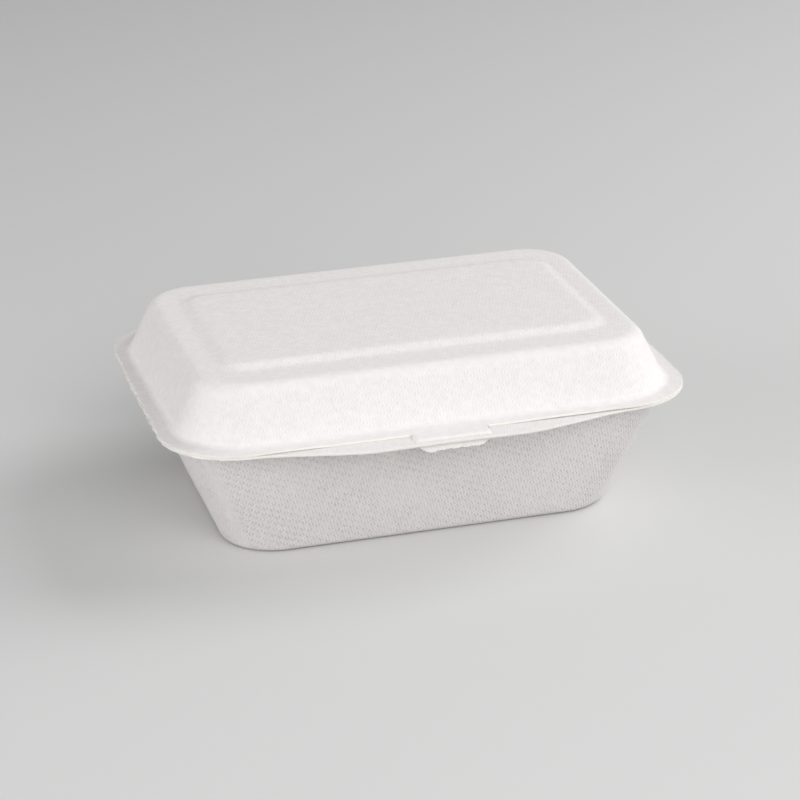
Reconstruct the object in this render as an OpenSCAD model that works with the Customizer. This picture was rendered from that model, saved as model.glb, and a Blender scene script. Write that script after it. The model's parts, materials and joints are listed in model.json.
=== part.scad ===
// Food clamshell of moulded bagasse pulp, closed, with its lock tab pushed home.
// It stands on its base: the origin is the middle of the base, X runs along the fold,
// -Y is the front with the tongue, and Z is up. All lengths are in millimetres.

/* [Rim] */
// Width over the rim, along the fold
rim_w = 182; // [150:1:220]
// Depth over the rim, from the front edge to the fold, without the tongue
rim_d = 134; // [120:1:180]
// Radius of the rim's corners, seen from above
rim_corner_r = 26.5; // [20:0.5:34]
// Flat width of the rim, from its cut edge to the crease at the wall
rim_flat = 5.8; // [4:0.1:10]
// Radius of the blend between the rim and the wall
rim_blend_r = 2.4; // [1:0.1:4]
// Thickness of the pressed pulp
stock = 0.8; // [0.5:0.05:1.2]

/* [Tray] */
// Height of the face on which tray and lid meet
tray_h = 45.5; // [30:0.5:70]
// How far the tray's walls lean in, from the rim down to the base
tray_lean = 17.4; // [8:0.1:24]
// Corner radius of the tray's walls just below the rim
tray_corner_r = 23; // [15:0.5:30]
// Corner radius of the tray's walls at the base
base_corner_r = 18.5; // [12:0.5:26]
// Radius of the round edge between the walls and the base
base_edge_r = 3; // [2:0.1:7]

/* [Lid] */
// Height of the lid's ledge above the face on which tray and lid meet
dome_h = 19.4; // [12:0.2:40]
// How far the lid's walls lean in, from the rim up to the shoulder
dome_lean = 8.4; // [5:0.1:14]
// Corner radius of the lid's walls just above the rim
dome_corner_r = 23; // [15:0.5:30]
// Corner radius of the lid at the shoulder
shoulder_corner_r = 16; // [10:0.5:24]
// Radius of the rounded shoulder, in section
shoulder_r = 5; // [2:0.1:8]
// Width of the ledge at the lid's two ends, from the shoulder to the middle of the panel's ramp
end_ledge = 11; // [9:0.5:20]
// Width of the ledge at the lid's front and back, measured likewise
front_ledge = 15.8; // [9:0.1:24]
// Corner radius of the raised centre panel
panel_corner_r = 8; // [4:0.5:14]
// Rise of the centre panel above the ledge
panel_rise = 1.1; // [0.4:0.1:2.5]
// Width of the ramp between the ledge and the panel
panel_ramp = 4; // [2:0.1:6]
// Radius of the creases at the foot and the top of that ramp
panel_blend_r = 5; // [2:0.5:8]

/* [Tongue and lock tab] */
// How far the tray's tongue stands out in front of the rim
tongue_reach = 7.9; // [6.5:0.1:12]
// Width of the tongue's front edge
tongue_front_w = 52; // [44:1:80]
// Depth of the shallow dip in the middle of the tongue's front edge
tongue_dip = 0.6; // [0:0.1:1]
// Distance of the lock tab's upright part in front of the rim, to its middle
tab_reach = 4.8; // [3.8:0.1:5.2]
// Width of the lock tab where it leaves the lid
tab_w = 26; // [18:0.5:34]
// Width of the lock tab at its tip
tab_tip_w = 20.5; // [12:0.5:30]
// Radius of the corners of the tab's tip
tab_tip_r = 2; // [0.5:0.1:3]
// How far the tab's tip stands out below the tongue
tab_drop = 3.5; // [1:0.1:6]
// Radius inside the tab's bend
tab_bend_r = 0.4; // [0.2:0.1:1]
// Play between the tab and each side of the slot
tab_play = 0.35; // [0.2:0.05:0.8]

/* [Fold] */
// How far the fold stops short of the rim's round corners, at each end
fold_end = 1.5; // [0:0.5:10]
// Radius of the folded pulp along the back
fold_r = 0.95; // [0.7:0.05:1.4]
// Clearance between the fold and the lid
fold_play = 0.3; // [0.2:0.05:0.6]

/* [Smoothness] */
// Steps in each quarter of a corner seen from above
corner_steps = 10; // [6:1:14]
// Steps in each rounded edge in section
edge_steps = 5; // [3:1:7]

/* [Hidden] */
pulp_white = [0.93, 0.925, 0.905];
// Extra length that lets joined shapes overlap and cuts run clear
bite = 1;
// Steps across the tongue's front outline
tongue_steps = 36;

// Inset of the base's lower edge and of the lid's shoulder from the rim's cut edge
base_inset = rim_flat + tray_lean;
shoulder_inset = rim_flat + dome_lean;
// Inset of the foot of the panel's ramp at the lid's ends, and how much more it is at the front
ramp_inset = shoulder_inset + end_ledge - panel_ramp / 2;
deeper_inset = front_ledge - end_ledge;
// The ledge's flat stretch, clear of the rounded shoulder and of the ramp's foot
ledge_from = shoulder_inset + shoulder_r * 0.6;
ledge_to = ramp_inset - panel_blend_r * 0.2;
// Straight length of the rim's front and back edges: the tongue's root takes all of it
rim_straight = rim_w - 2 * rim_corner_r;
fold_l = rim_straight - 2 * fold_end;

// Unit vector from a to b
function towards(a, b) = (b - a) / norm(b - a);

// Unit normal on the left of the line from a to b
function left_of(a, b) = let (t = towards(a, b)) [-t.y, t.x];

// Arc of radius r that rounds the corner b of the path a, b, c
function corner_arc(a, b, c, r) =
    let (
        ahead = towards(a, b),
        back = towards(b, a),
        out = towards(b, c),
        half = acos(back * out) / 2,
        centre = b + (back + out) / norm(back + out) * r / sin(half),
        spoke = (b + back * r / tan(half) - centre) / r,
        sweep = 180 - 2 * half
    )
    [for (k = [0 : edge_steps])
        centre + r * (cos(sweep * k / edge_steps) * spoke + sin(sweep * k / edge_steps) * ahead)];

// A path with its inner corners rounded; radii has one entry for each inner corner
function rounded(path, radii) = concat(
    [path[0]],
    [for (i = [1 : len(path) - 2]) each corner_arc(path[i - 1], path[i], path[i + 1], radii[i - 1])],
    [path[len(path) - 1]]
);

// The path moved sideways by d, to its left, with mitred corners
function beside(path, d) =
    let (last = len(path) - 1)
    [for (i = [0 : last])
        let (
            n1 = i > 0 ? left_of(path[i - 1], path[i]) : left_of(path[0], path[1]),
            n2 = i < last ? left_of(path[i], path[i + 1]) : n1
        )
        path[i] + d * (n1 + n2) / (1 + n1 * n2)];

// The corner radii that belong to beside(path, d)
function beside_radii(path, radii, d) =
    [for (i = [1 : len(path) - 2])
        radii[i - 1] - d * sign(cross(path[i] - path[i - 1], path[i + 1] - path[i]))];

// The points of a list in the opposite order
function reversed(list) = [for (i = [len(list) - 1 : -1 : 0]) list[i]];

// A rounded rectangle at height z, half_w by half_d from its middle, anticlockwise from above
function ring(half_w, half_d, r, z) =
    [for (quarter = [0 : 3], k = [0 : corner_steps])
        let (
            a = 90 * (quarter + k / corner_steps),
            sx = quarter == 0 || quarter == 3 ? 1 : -1,
            sy = quarter < 2 ? 1 : -1
        )
        [sx * (half_w - r) + r * cos(a), sy * (half_d - r) + r * sin(a), z]];

// A closed skin through a list of rings with equal numbers of points, capped at both ends
module skin(rings) {
    n = len(rings[0]);
    m = len(rings);
    sides = [for (i = [0 : m - 2], k = [0 : n - 1])
        let (a = i * n + k, b = i * n + (k + 1) % n)
        each [[a, b, b + n], [a, b + n, a + n]]];
    polyhedron(
        points = [for (r = rings) each r],
        faces = concat(
            [[for (k = [0 : n - 1]) k]],
            [for (f = sides) reversed(f)],
            [[for (k = [n - 1 : -1 : 0]) (m - 1) * n + k]]
        ),
        convexity = 6
    );
}

// Section of the tray's outside, as [inset from the rim, height], from the rim's edge to the base
tray_path = [
    [0, tray_h - stock],
    [rim_flat, tray_h - stock],
    [base_inset, 0],
    [base_inset + base_corner_r, 0]
];
tray_radii = [rim_blend_r, base_edge_r];

// Plan radius of the tray's corners at a given inset
function tray_plan_r(s) = lookup(s, [
    [0, rim_corner_r],
    [rim_flat, tray_corner_r],
    [base_inset, base_corner_r],
    [base_inset + base_corner_r, bite]
]);

function tray_ring(p) = ring(rim_w / 2 - p.x, rim_d / 2 - p.x, tray_plan_r(p.x), p.y);

module tray_shell() {
    outside = rounded(tray_path, tray_radii);
    inside = rounded(beside(tray_path, stock), beside_radii(tray_path, tray_radii, stock));
    skin([for (p = concat(reversed(outside), inside)) tray_ring(p)]);
}

// Section of the lid's top, as [inset from the rim, height], from the rim's edge to the panel
lid_path = [
    [0, tray_h + stock],
    [rim_flat, tray_h + stock],
    [shoulder_inset, tray_h + dome_h],
    [ramp_inset, tray_h + dome_h],
    [ramp_inset + panel_ramp, tray_h + dome_h + panel_rise],
    [ramp_inset + panel_ramp + panel_corner_r, tray_h + dome_h + panel_rise]
];
lid_radii = [rim_blend_r, shoulder_r, panel_blend_r, panel_blend_r];

// Plan radius of the lid's corners at a given inset
function lid_plan_r(s) = lookup(s, [
    [0, rim_corner_r],
    [rim_flat, dome_corner_r],
    [shoulder_inset, shoulder_corner_r],
    [ledge_to, panel_corner_r + panel_ramp / 2],
    [ramp_inset + panel_ramp, panel_corner_r - panel_ramp / 2],
    [ramp_inset + panel_ramp + panel_corner_r, bite / 2]
]);

// The panel stands further from the rim at the front and back than at the ends
function lid_ring(p) =
    let (extra = lookup(p.x, [[ledge_from, 0], [ledge_to, deeper_inset]]))
    ring(rim_w / 2 - p.x, rim_d / 2 - p.x - extra, lid_plan_r(p.x), p.y);

module lid_shell() {
    top = rounded(lid_path, lid_radii);
    under = rounded(beside(lid_path, -stock), beside_radii(lid_path, lid_radii, -stock));
    skin([for (p = concat(reversed(under), top)) lid_ring(p)]);
}

// How far the tongue's edge stands out at x: long soft shoulders, and a dip in the middle
function tongue_out(x) =
    let (
        u = min(1, (rim_straight / 2 - abs(x)) / ((rim_straight - tongue_front_w) / 2)),
        eased = u * (1 + 3 * u - 2 * u * u) / 2,
        dip = tongue_dip * (1 + cos(180 * min(1, 2 * abs(x) / tongue_front_w))) / 2
    )
    tongue_reach * eased - dip;

module tongue() {
    root = rim_straight / 2;
    outline = [for (i = [0 : tongue_steps])
        let (x = rim_straight * (i / tongue_steps - 0.5))
        [x, -rim_d / 2 - tongue_out(x)]];
    translate([0, 0, tray_h - stock])
        linear_extrude(stock)
            polygon(concat(outline, [[root, bite - rim_d / 2], [-root, bite - rim_d / 2]]));
}

// Slot for the lock tab, with straight sides and round ends: it clears the inside of the tab's bend
module lock_slot() {
    front = tab_reach + stock / 2 + tab_play;
    back = tab_reach - stock / 2 - tab_bend_r - tab_play;
    width = front - back;
    translate([0, -rim_d / 2 - (front + back) / 2, tray_h - stock - bite])
        linear_extrude(stock + 2 * bite) {
            square([tab_w, width], center = true);
            for (side = [-1, 1])
                translate([side * tab_w / 2, 0])
                    circle(d = width, $fn = 24);
        }
}

// The folded pulp along the back: its middle line is the hinge axis
module fold_bead(r, l) {
    translate([-l / 2, rim_d / 2, tray_h])
        rotate([0, 90, 0])
            cylinder(r = r, h = l, $fn = 32);
}

// Section of the lock tab: out over the tongue, then down through the slot
module tab_section() {
    face = tab_reach + stock / 2;
    top = [
        [-bite, tray_h + stock],
        [face, tray_h + stock],
        [face, tray_h - stock - tab_drop]
    ];
    bend = [tab_bend_r + stock];
    polygon(concat(
        rounded(top, bend),
        reversed(rounded(beside(top, -stock), beside_radii(top, bend, -stock)))
    ));
}

// Front view of the lock tab: full width at the lid, narrower at its round-cornered tip
module tab_outline() {
    half = tab_w / 2;
    tip = tab_tip_w / 2;
    foot = tray_h - stock - tab_drop;
    side = [[-half, tray_h - stock], [-tip, foot], [tip, foot], [half, tray_h - stock]];
    polygon(concat(
        [[half, tray_h + stock + bite], [-half, tray_h + stock + bite]],
        rounded(side, [tab_tip_r, tab_tip_r])
    ));
}

module lock_tab() {
    intersection() {
        translate([-tab_w / 2, -rim_d / 2, 0])
            rotate([90, 0, 90])
                linear_extrude(tab_w)
                    mirror([1, 0])
                        tab_section();
        translate([0, -rim_d / 2 + bite, 0])
            rotate([90, 0, 0])
                linear_extrude(tab_reach + stock + 2 * bite)
                    tab_outline();
    }
}

module tray() {
    color(pulp_white)
        difference() {
            union() {
                tray_shell();
                tongue();
                fold_bead(fold_r, fold_l);
            }
            lock_slot();
        }
}

module lid() {
    color(pulp_white)
        union() {
            difference() {
                lid_shell();
                fold_bead(fold_r + fold_play, fold_l + 2 * fold_play);
            }
            lock_tab();
        }
}

tray();
lid();
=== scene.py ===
"""Closed food clamshell of moulded bagasse pulp: its finish and fine form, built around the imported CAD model.

The tray and the lid are thin pressed shells. Each is a section, swept round a rounded-rectangle plan by one
Geometry Nodes tree, so that the wall keeps its thickness while the corners change radius with height. The
fold along the back is a strip swept along the hinge line, and the loose fibres that stand out of the die-cut
edges are scattered by a third tree. Lengths are in metres, and MM turns a length in millimetres into them.
"""

import json
import logging
import math
from dataclasses import dataclass, field
from enum import Enum
from typing import Any, Sequence

import bpy
import numpy as np
from mathutils import Matrix, Vector


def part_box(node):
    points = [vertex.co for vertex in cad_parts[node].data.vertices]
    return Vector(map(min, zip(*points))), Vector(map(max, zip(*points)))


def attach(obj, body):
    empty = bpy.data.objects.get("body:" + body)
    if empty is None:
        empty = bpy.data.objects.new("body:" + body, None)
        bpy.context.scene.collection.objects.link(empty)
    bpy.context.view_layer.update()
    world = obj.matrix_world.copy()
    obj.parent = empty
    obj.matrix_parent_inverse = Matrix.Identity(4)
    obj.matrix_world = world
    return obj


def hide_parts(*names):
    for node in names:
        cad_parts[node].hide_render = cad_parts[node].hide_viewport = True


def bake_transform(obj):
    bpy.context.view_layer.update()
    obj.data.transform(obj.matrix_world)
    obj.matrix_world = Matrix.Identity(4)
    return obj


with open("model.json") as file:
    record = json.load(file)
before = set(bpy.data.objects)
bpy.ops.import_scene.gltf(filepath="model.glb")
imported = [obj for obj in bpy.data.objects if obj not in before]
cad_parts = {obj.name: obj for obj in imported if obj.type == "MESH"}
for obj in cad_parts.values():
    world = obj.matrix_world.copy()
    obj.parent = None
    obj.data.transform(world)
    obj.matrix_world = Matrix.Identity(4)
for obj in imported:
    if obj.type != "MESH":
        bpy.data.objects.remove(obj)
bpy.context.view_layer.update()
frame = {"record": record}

LOG = logging.getLogger("clamshell")
MM = 0.001
# Sockets of the Mix node, whose names repeat for each kind of value
MIX_A_VECTOR, MIX_B_VECTOR, MIX_OUT_VECTOR = 4, 5, 1
MIX_A_COLOR, MIX_B_COLOR, MIX_OUT_COLOR = 6, 7, 2
# Share of the fabric's imprint that is left on the rim, which the dies press flat, and on level stretches
RIM_IMPRINT = 0.3
LEVEL_IMPRINT = 0.65
# The forming fabric's relief as waves: how many to a wire, how many to a row, and how strong
FABRIC_WAVES = ((-1.0, 1, 1.0), (-0.5, 1, 0.5), (1.0, 0, 0.7), (-0.5, 2, 0.6), (1.0, 1, 0.6))
# Noise swings about its middle. The cut edge's is measured from more than that, so that it wanders inwards
NOISE_MIDDLE = (0.5, 0.5, 0.5)
EDGE_MIDDLE = 0.62
# Points of a swept shell and of the fold strip that lie nearer than this are one
SHELL_WELD = 0.004 * MM
FOLD_WELD = 0.002 * MM
# Fibres grow where the cut attribute, which falls off beside a cut edge, is over this, and lean by up to
# this angle each way
FIBRES_FROM = 0.7
FIBRE_LEAN = 0.95
# What can feed a node's input: a socket, or a node for its first output
Feed = bpy.types.Node | bpy.types.NodeSocket


class Body(Enum):
    """The CAD bodies that the pieces ride on."""

    TRAY = "tray"
    LID = "lid"


class Lay(Enum):
    """How the wire screen lay on a stretch of the mould: flat from above, or upright round the walls."""

    FLAT = 1.0
    UPRIGHT = 0.0


def srgb(code: str) -> tuple[float, float, float, float]:
    """Turns an sRGB hex colour into linear RGBA.

    Args:
        code: Six hex digits with a leading hash.

    Returns:
        The linear colour with alpha 1.
    """
    channels = [int(code[i : i + 2], 16) / 255 for i in (1, 3, 5)]
    linear = [c / 12.92 if c <= 0.04045 else ((c + 0.055) / 1.055) ** 2.4 for c in channels]
    return (linear[0], linear[1], linear[2], 1.0)


def add_node(
    tree: bpy.types.NodeTree,
    kind: str,
    inputs: dict[int | str, Any] | None = None,
    **settings: Any,
) -> bpy.types.Node:
    """Adds a node, sets its properties and fills or links its inputs.

    Args:
        tree: The node tree that gets the node.
        kind: The node's type identifier.
        inputs: Input name or index, and the node or socket to link or the value to set there.
        **settings: Properties of the node itself.

    Returns:
        The new node.
    """
    node = tree.nodes.new(kind)
    for name, value in settings.items():
        setattr(node, name, value)
    for key, value in (inputs or {}).items():
        feed = value.outputs[0] if isinstance(value, bpy.types.Node) else value
        if isinstance(feed, bpy.types.NodeSocket):
            tree.links.new(feed, node.inputs[key])
        else:
            node.inputs[key].default_value = feed
    return node


def blank_tree(owner: bpy.types.Material | bpy.types.World) -> bpy.types.NodeTree:
    """The owner's shader tree, emptied."""
    owner.use_nodes = True
    owner.node_tree.nodes.clear()
    return owner.node_tree


def add_object(name: str, data: bpy.types.ID) -> bpy.types.Object:
    """Adds an object with the given data to the scene."""
    obj = bpy.data.objects.new(name, data)
    bpy.context.scene.collection.objects.link(obj)
    return obj


def smooth(x: np.ndarray) -> np.ndarray:
    """Smooth step of x, which is first limited to 0 to 1."""
    t = np.clip(x, 0.0, 1.0)
    return t * t * (3 - 2 * t)


def swell(x: np.ndarray, span: Sequence[float]) -> np.ndarray:
    """Rises from 0 to 1 between the span's first two values of x, and falls back between its last two."""
    begin, full, falling, gone = span
    return smooth((x - begin) / (full - begin)) * smooth((gone - x) / (gone - falling))


def unit(v: np.ndarray) -> np.ndarray:
    """The vector at length 1."""
    return v / np.linalg.norm(v)


def corner_arc(a: np.ndarray, b: np.ndarray, c: np.ndarray, r: float, steps: int) -> list[np.ndarray]:
    """Rounds the corner b of the path a, b, c.

    Args:
        a: Point before the corner.
        b: The corner.
        c: Point after the corner.
        r: Radius of the arc.
        steps: Number of steps along the arc.

    Returns:
        The points of the arc, both tangent points included.
    """
    ahead, out = unit(b - a), unit(c - b)
    half = math.acos(float(np.clip(-ahead @ out, -1, 1))) / 2
    centre = b + unit(out - ahead) * r / math.sin(half)
    spoke = (b - ahead * r / math.tan(half) - centre) / r
    sweep = math.pi - 2 * half
    angles = [sweep * k / steps for k in range(steps + 1)]
    return [centre + r * (math.cos(t) * spoke + math.sin(t) * ahead) for t in angles]


def left_of(a: np.ndarray, b: np.ndarray) -> np.ndarray:
    """Unit normal on the left of the line from a to b."""
    t = unit(b - a)
    return np.array([-t[1], t[0]])


def beside(path: Sequence[np.ndarray], d: float) -> list[np.ndarray]:
    """Moves a path sideways, to its left, with mitred corners.

    Args:
        path: Points of the path.
        d: Distance, negative to its right.

    Returns:
        The moved points.
    """
    normals = [left_of(path[i], path[i + 1]) for i in range(len(path) - 1)]
    before = [normals[0], *normals]
    after = [*normals, normals[-1]]
    return [p + d * (m + n) / (1 + m @ n) for p, m, n in zip(path, before, after)]


def beside_radii(path: Sequence[np.ndarray], radii: Sequence[float], d: float) -> list[float]:
    """The corner radii that belong to beside(path, d).

    Args:
        path: Points of the path.
        radii: Radius at each inner point.
        d: Distance by which the path moved to its left.

    Returns:
        One radius for each inner point.
    """
    turned = []
    for i, r in enumerate(radii):
        u, v = path[i + 1] - path[i], path[i + 2] - path[i + 1]
        turned.append(r - d * float(np.sign(u[0] * v[1] - u[1] * v[0])))
    return turned


def new_mesh(
    name: str, points: np.ndarray, edges: Sequence[Any] = (), faces: Sequence[Any] = ()
) -> bpy.types.Mesh:
    """Makes a mesh from points, edges and faces.

    Args:
        name: Name of the mesh.
        points: One row for each vertex.
        edges: Pairs of vertex numbers.
        faces: Lists of vertex numbers.

    Returns:
        The mesh.
    """
    mesh = bpy.data.meshes.new(name)
    places = [tuple(map(float, p)) for p in points]
    mesh.from_pydata(places, [tuple(e) for e in edges], [tuple(f) for f in faces])
    mesh.update()
    return mesh


def chain(count: int, closed: bool) -> list[tuple[int, int]]:
    """Edges that join count points in a row, and the last to the first where closed."""
    links = [(i, i + 1) for i in range(count - 1)]
    return [*links, (count - 1, 0)] if closed else links


def put(mesh: bpy.types.Mesh, name: str, values: np.ndarray) -> None:
    """Writes a float or vector attribute on a mesh's points.

    Args:
        mesh: The mesh.
        name: Name of the attribute.
        values: One number or one row of three for each point.
    """
    values = np.asarray(values, dtype=np.float32)
    if values.ndim == 2:
        mesh.attributes.new(name, "FLOAT_VECTOR", "POINT").data.foreach_set("vector", values.ravel())
    else:
        mesh.attributes.new(name, "FLOAT", "POINT").data.foreach_set("value", values)


def take(mesh: bpy.types.Mesh, name: str) -> np.ndarray:
    """Reads a float attribute of a mesh's points."""
    values = np.zeros(len(mesh.vertices), dtype=np.float32)
    mesh.attributes[name].data.foreach_get("value", values)
    return values


def points_of(mesh: bpy.types.Mesh) -> np.ndarray:
    """The mesh's vertices, one row each."""
    flat = np.zeros(3 * len(mesh.vertices), dtype=np.float64)
    mesh.vertices.foreach_get("co", flat)
    return flat.reshape(-1, 3)


def move_points(mesh: bpy.types.Mesh, points: np.ndarray) -> None:
    """Puts the mesh's vertices at the given rows."""
    mesh.vertices.foreach_set("co", points.astype(np.float32).ravel())
    mesh.update()


def face_outwards(mesh: bpy.types.Mesh) -> None:
    """Turns all faces of a closed mesh round if it is inside out."""
    mesh.calc_loop_triangles()
    corners = np.zeros(3 * len(mesh.loop_triangles), dtype=np.int32)
    mesh.loop_triangles.foreach_get("vertices", corners)
    a, b, c = points_of(mesh)[corners.reshape(-1, 3)].transpose(1, 0, 2)
    if float(np.einsum("ij,ij->", a, np.cross(b, c))) < 0:
        mesh.flip_normals()


def finish_surface(mesh: bpy.types.Mesh, helpers: Sequence[str], edge_angle: float) -> None:
    """Clears a mesh's helper attributes and smooths it up to its real edges.

    Args:
        mesh: The closed mesh.
        helpers: Names of the attributes that only its making needed.
        edge_angle: Angle in degrees from which an edge stays sharp.
    """
    for label in helpers:
        if label in mesh.attributes:
            mesh.attributes.remove(mesh.attributes[label])
    mesh.polygons.foreach_set("use_smooth", [True] * len(mesh.polygons))
    mesh.set_sharp_from_angle(angle=math.radians(edge_angle))
    face_outwards(mesh)


def run_tree(
    name: str,
    start: bpy.types.Mesh,
    tree: bpy.types.NodeTree,
    inputs: dict[str, Any],
) -> bpy.types.Object:
    """Runs a Geometry Nodes tree on a mesh and keeps the result as a plain mesh.

    Args:
        name: Name of the new object.
        start: The mesh that the tree starts from.
        tree: The tree.
        inputs: Value for each of the tree's named inputs.

    Returns:
        The object with its finished mesh and no modifier.
    """
    obj = add_object(name, start)
    modifier = obj.modifiers.new(tree.name, "NODES")
    modifier.node_group = tree
    keys = {item.name: item.identifier for item in tree.interface.items_tree if item.in_out == "INPUT"}
    for label, value in inputs.items():
        modifier[keys[label]] = value
    graph = bpy.context.evaluated_depsgraph_get()
    made = bpy.data.meshes.new_from_object(obj.evaluated_get(graph), depsgraph=graph)
    obj.modifiers.remove(modifier)
    obj.data = made
    made.name = name
    return obj


def new_tree(name: str, inputs: dict[str, tuple[str, Any]]) -> tuple[bpy.types.NodeTree, bpy.types.Node]:
    """Starts a Geometry Nodes tree with named inputs.

    Args:
        name: Name of the tree.
        inputs: Socket type and default, None where it has none, for each input's name.

    Returns:
        The tree and its input node.
    """
    tree = bpy.data.node_groups.new(name, "GeometryNodeTree")
    tree.interface.new_socket("Geometry", in_out="INPUT", socket_type="NodeSocketGeometry")
    for label, (kind, default) in inputs.items():
        socket = tree.interface.new_socket(label, in_out="INPUT", socket_type=kind)
        if default is not None:
            socket.default_value = default
    tree.interface.new_socket("Geometry", in_out="OUTPUT", socket_type="NodeSocketGeometry")
    return tree, add_node(tree, "NodeGroupInput")


def finish_tree(tree: bpy.types.NodeTree, geometry: Feed, material: Feed) -> None:
    """Ends a tree with real geometry that carries its material.

    Args:
        tree: The tree.
        geometry: The geometry to finish.
        material: The material's socket.
    """
    real = add_node(tree, "GeometryNodeRealizeInstances", {"Geometry": geometry})
    dressed = add_node(tree, "GeometryNodeSetMaterial", {"Geometry": real, "Material": material})
    add_node(tree, "NodeGroupOutput", {0: dressed})


def sweep_tree() -> bpy.types.NodeTree:
    """Tree that sweeps a pulp shell's section round its plan.

    Each plan point has the corner that it belongs to, the way it faces and how far its edge is pulled out to
    the front. Each section point has its reach and corner radius, so a point of the shell is
    corner x reach + radius x facing. The tree then adds the unevenness of pressed pulp and the wander of the
    die-cut edge, and lays the screen's chart on the surface.

    Returns:
        The tree.
    """
    tree, given = new_tree(
        "pulp shell sweep",
        {
            "Plan": ("NodeSocketObject", None),
            "Unevenness": ("NodeSocketFloat", 0.1 * MM),
            "Uneven patch": ("NodeSocketFloat", 7 * MM),
            "Edge wander": ("NodeSocketFloat", 0.2 * MM),
            "Wander length": ("NodeSocketFloat", 2.5 * MM),
            "Flat base height": ("NodeSocketFloat", 3 * MM),
            "Seed": ("NodeSocketFloat", 1.0),
            "Edge seed": ("NodeSocketFloat", 1.0),
            "Material": ("NodeSocketMaterial", None),
        },
    )
    plan = add_node(tree, "GeometryNodeObjectInfo", {"Object": given.outputs["Plan"]})
    path = add_node(tree, "GeometryNodeMeshToCurve", {"Mesh": plan.outputs["Geometry"]})
    section = add_node(tree, "GeometryNodeMeshToCurve", {"Mesh": given.outputs["Geometry"]})
    swept = add_node(tree, "GeometryNodeCurveToMesh", {"Curve": path, "Profile Curve": section})
    read = {
        name: add_node(tree, "GeometryNodeInputNamedAttribute", {"Name": name}, data_type=kind)
        for name, kind in {
            "corner": "FLOAT_VECTOR",
            "facing": "FLOAT_VECTOR",
            "lay": "FLOAT_VECTOR",
            "reach": "FLOAT_VECTOR",
            "rounding": "FLOAT",
            "pull": "FLOAT",
            "seam": "FLOAT",
            "wear": "FLOAT",
            "outboard": "FLOAT",
            "run": "FLOAT",
            "flat": "FLOAT",
            "imprint": "FLOAT",
        }.items()
    }
    at_corner = add_node(
        tree, "ShaderNodeVectorMath", {0: read["corner"], 1: read["reach"]}, operation="MULTIPLY"
    )
    round_it = add_node(
        tree, "ShaderNodeVectorMath", {0: read["facing"], "Scale": read["rounding"]}, operation="SCALE"
    )
    ring = add_node(tree, "ShaderNodeVectorMath", {0: at_corner, 1: round_it}, operation="ADD")
    pulled = add_node(tree, "ShaderNodeMath", {0: read["pull"], 1: read["outboard"]}, operation="MULTIPLY")
    forwards = add_node(tree, "ShaderNodeCombineXYZ", {"Y": pulled})
    placed = add_node(tree, "ShaderNodeVectorMath", {0: ring, 1: forwards}, operation="SUBTRACT")

    grain = add_node(tree, "ShaderNodeMath", {0: 1.0, 1: given.outputs["Uneven patch"]}, operation="DIVIDE")
    lumps = add_node(
        tree,
        "ShaderNodeTexNoise",
        {"Vector": placed, "W": given.outputs["Seed"], "Scale": grain, "Detail": 2.0, "Roughness": 0.55},
        noise_dimensions="4D",
    )
    centred = add_node(
        tree, "ShaderNodeVectorMath", {0: lumps.outputs["Color"], 1: NOISE_MIDDLE}, operation="SUBTRACT"
    )
    split = add_node(tree, "ShaderNodeSeparateXYZ", {0: placed})
    above_base = add_node(
        tree,
        "ShaderNodeMapRange",
        {"Value": split.outputs["Z"], "From Min": 0.0, "From Max": given.outputs["Flat base height"]},
        interpolation_type="SMOOTHSTEP",
    )
    how_uneven = add_node(
        tree, "ShaderNodeMath", {0: above_base, 1: given.outputs["Unevenness"]}, operation="MULTIPLY"
    )
    uneven = add_node(tree, "ShaderNodeVectorMath", {0: centred, "Scale": how_uneven}, operation="SCALE")

    wander_grain = add_node(
        tree, "ShaderNodeMath", {0: 1.0, 1: given.outputs["Wander length"]}, operation="DIVIDE"
    )
    wander = add_node(
        tree,
        "ShaderNodeTexNoise",
        {
            "Vector": placed,
            "W": given.outputs["Edge seed"],
            "Scale": wander_grain,
            "Detail": 3.0,
            "Roughness": 0.6,
        },
        noise_dimensions="4D",
    )
    swing = add_node(tree, "ShaderNodeMath", {0: wander, 1: EDGE_MIDDLE}, operation="SUBTRACT")
    edge_weight = add_node(tree, "ShaderNodeMath", {0: read["outboard"], 1: 2.0}, operation="POWER")
    worn = add_node(tree, "ShaderNodeMath", {0: edge_weight, 1: read["wear"]}, operation="MULTIPLY")
    edge_size = add_node(
        tree, "ShaderNodeMath", {0: worn, 1: given.outputs["Edge wander"]}, operation="MULTIPLY"
    )
    edge_step = add_node(tree, "ShaderNodeMath", {0: swing, 1: edge_size}, operation="MULTIPLY")
    frayed = add_node(
        tree, "ShaderNodeVectorMath", {0: read["facing"], "Scale": edge_step}, operation="SCALE"
    )
    rough = add_node(tree, "ShaderNodeVectorMath", {0: uneven, 1: frayed}, operation="ADD")
    final = add_node(tree, "ShaderNodeVectorMath", {0: placed, 1: rough}, operation="ADD")
    shell = add_node(tree, "GeometryNodeSetPosition", {"Geometry": swept, "Position": final})

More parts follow.
